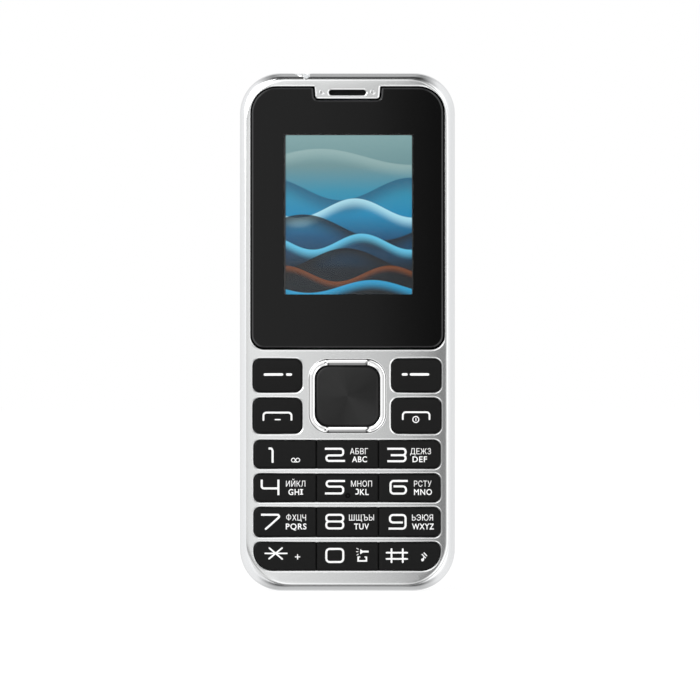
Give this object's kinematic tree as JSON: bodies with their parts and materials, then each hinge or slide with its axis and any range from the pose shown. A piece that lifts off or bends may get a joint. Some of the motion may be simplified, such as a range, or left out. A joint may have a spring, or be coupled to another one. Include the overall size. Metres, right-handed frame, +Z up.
{
  "type": "feature phone",
  "caption": "Bar-shaped mobile phone with a small display, four-way ring, number keys, removable back cover and battery, headphone jack and charging port.",
  "frame": {"origin": "middle of the bottom end, on the surface it stands on", "axes": "+Z up the phone to its top end, -Y out of the key side, +X to the right of a person who looks at the keys"},
  "size_m": [0.0474, 0.0138, 0.1144],
  "materials": {
    "frame_silver": "metallised gloss",
    "plate_silver": "satin metallic paint",
    "clear_acrylic": "polished clear",
    "black_print": "printed black",
    "panel_glass": "lit display",
    "white_plastic": "moulded",
    "flex_film": "polyimide film",
    "black_mesh": "woven",
    "stamped_steel": "stamped",
    "silicone": "moulded silicone",
    "board_laminate": "solder mask",
    "gold_contact": "plated",
    "black_plastic": "moulded",
    "ring_chrome": "metallised gloss",
    "camera_glass": "polished",
    "led_yellow": "phosphor",
    "torch_clear": "polished clear",
    "dark_plastic": "moulded",
    "key_black": "soft matt",
    "grey_plastic": "moulded",
    "select_black": "spun gloss",
    "battery_wrap": "printed film",
    "cover_silver": "satin metallic paint"
  },
  "bodies": {
    "housing": {"side_frame": "frame_silver", "front_plate": "plate_silver", "display_window": "clear_acrylic", "window_mask": "black_print", "lcd_panel": "panel_glass", "lcd_backlight": "white_plastic", "lcd_flex": "flex_film", "earpiece_mesh": "black_mesh", "earpiece_receiver": "stamped_steel", "keypad_mat": "silicone", "key_domes": "stamped_steel", "main_board": "board_laminate", "shield_cans": "stamped_steel", "sim_sockets": "stamped_steel", "memory_socket": "stamped_steel", "battery_contacts": "gold_contact", "usb_socket": "stamped_steel", "audio_jack": "black_plastic", "microphone": "black_plastic", "loudspeaker": "black_plastic", "speaker_mesh": "black_mesh", "vibration_motor": "stamped_steel", "camera_module": "black_plastic", "camera_ring": "ring_chrome", "camera_glass": "camera_glass", "torch_led": "led_yellow", "torch_lens": "torch_clear", "antenna": "gold_contact", "rear_chassis": "dark_plastic", "housing_screws": "stamped_steel"},
    "soft_key_left": {"soft_key_left": "key_black"},
    "soft_key_right": {"soft_key_right": "key_black"},
    "call_key": {"call_key": "key_black"},
    "end_key": {"end_key": "key_black"},
    "key_1": {"key_1": "key_black"},
    "key_2": {"key_2": "key_black"},
    "key_3": {"key_3": "key_black"},
    "key_4": {"key_4": "key_black"},
    "key_5": {"key_5": "key_black"},
    "key_6": {"key_6": "key_black"},
    "key_7": {"key_7": "key_black"},
    "key_8": {"key_8": "key_black"},
    "key_9": {"key_9": "key_black"},
    "key_star": {"key_star": "key_black"},
    "key_0": {"key_0": "key_black"},
    "key_hash": {"key_hash": "key_black"},
    "select_key": {"select_key": "select_black"},
    "nav_rocker": {"nav_rocker": "grey_plastic"},
    "nav_ring": {"nav_ring": "ring_chrome"},
    "motor_weight": {"motor_weight": "stamped_steel"},
    "back_cover": {"back_cover": "cover_silver"},
    "battery": {"battery": "battery_wrap", "battery_terminals": "gold_contact"}
  },
  "joints": [
    {"name": "soft_key_left_press", "type": "slide", "parent": "housing", "child": "soft_key_left", "axis": [0, 1, 0], "range_m": [0, 0.0004], "stiffness_N_per_m": 300, "springref_m": -0.001},
    {"name": "soft_key_right_press", "type": "slide", "parent": "housing", "child": "soft_key_right", "axis": [0, 1, 0], "range_m": [0, 0.0004], "stiffness_N_per_m": 300, "springref_m": -0.001},
    {"name": "call_key_press", "type": "slide", "parent": "housing", "child": "call_key", "axis": [0, 1, 0], "range_m": [0, 0.0004], "stiffness_N_per_m": 300, "springref_m": -0.001},
    {"name": "end_key_press", "type": "slide", "parent": "housing", "child": "end_key", "axis": [0, 1, 0], "range_m": [0, 0.0004], "stiffness_N_per_m": 300, "springref_m": -0.001},
    {"name": "key_1_press", "type": "slide", "parent": "housing", "child": "key_1", "axis": [0, 1, 0], "range_m": [0, 0.0004], "stiffness_N_per_m": 300, "springref_m": -0.001},
    {"name": "key_2_press", "type": "slide", "parent": "housing", "child": "key_2", "axis": [0, 1, 0], "range_m": [0, 0.0004], "stiffness_N_per_m": 300, "springref_m": -0.001},
    {"name": "key_3_press", "type": "slide", "parent": "housing", "child": "key_3", "axis": [0, 1, 0], "range_m": [0, 0.0004], "stiffness_N_per_m": 300, "springref_m": -0.001},
    {"name": "key_4_press", "type": "slide", "parent": "housing", "child": "key_4", "axis": [0, 1, 0], "range_m": [0, 0.0004], "stiffness_N_per_m": 300, "springref_m": -0.001},
    {"name": "key_5_press", "type": "slide", "parent": "housing", "child": "key_5", "axis": [0, 1, 0], "range_m": [0, 0.0004], "stiffness_N_per_m": 300, "springref_m": -0.001},
    {"name": "key_6_press", "type": "slide", "parent": "housing", "child": "key_6", "axis": [0, 1, 0], "range_m": [0, 0.0004], "stiffness_N_per_m": 300, "springref_m": -0.001},
    {"name": "key_7_press", "type": "slide", "parent": "housing", "child": "key_7", "axis": [0, 1, 0], "range_m": [0, 0.0004], "stiffness_N_per_m": 300, "springref_m": -0.001},
    {"name": "key_8_press", "type": "slide", "parent": "housing", "child": "key_8", "axis": [0, 1, 0], "range_m": [0, 0.0004], "stiffness_N_per_m": 300, "springref_m": -0.001},
    {"name": "key_9_press", "type": "slide", "parent": "housing", "child": "key_9", "axis": [0, 1, 0], "range_m": [0, 0.0004], "stiffness_N_per_m": 300, "springref_m": -0.001},
    {"name": "key_star_press", "type": "slide", "parent": "housing", "child": "key_star", "axis": [0, 1, 0], "range_m": [0, 0.0004], "stiffness_N_per_m": 300, "springref_m": -0.001},
    {"name": "key_0_press", "type": "slide", "parent": "housing", "child": "key_0", "axis": [0, 1, 0], "range_m": [0, 0.0004], "stiffness_N_per_m": 300, "springref_m": -0.001},
    {"name": "key_hash_press", "type": "slide", "parent": "housing", "child": "key_hash", "axis": [0, 1, 0], "range_m": [0, 0.0004], "stiffness_N_per_m": 300, "springref_m": -0.001},
    {"name": "select_key_press", "type": "slide", "parent": "housing", "child": "select_key", "axis": [0, 1, 0], "range_m": [0, 0.0004], "stiffness_N_per_m": 300, "springref_m": -0.001},
    {"name": "rocker_side_tilt", "type": "hinge", "parent": "housing", "child": "nav_rocker", "pos_m": [0, -0.00345, 0.04305], "axis": [0, 0, 1], "range_deg": [-1.5, 1.5], "stiffness_Nm_per_rad": 0.01},
    {"name": "ring_up_tilt", "type": "hinge", "parent": "nav_rocker", "child": "nav_ring", "pos_m": [0, -0.0041, 0.04305], "axis": [1, 0, 0], "range_deg": [-1.5, 1.5], "stiffness_Nm_per_rad": 0.01},
    {"name": "cover_lift", "type": "slide", "parent": "housing", "child": "back_cover", "axis": [0, 1, 0], "range_m": [0, 0.03]},
    {"name": "battery_lift", "type": "slide", "parent": "housing", "child": "battery", "axis": [0, 1, 0], "range_m": [0, 0.0135]},
    {"name": "motor_spin", "type": "hinge", "parent": "housing", "child": "motor_weight", "pos_m": [-0.0071, 0.00285, 0.1044], "axis": [1, 0, 0], "continuous": true}
  ],
  "couplings": [
    {"joint": "battery_lift", "follows": "cover_lift", "ratio": 0.45}
  ]
}
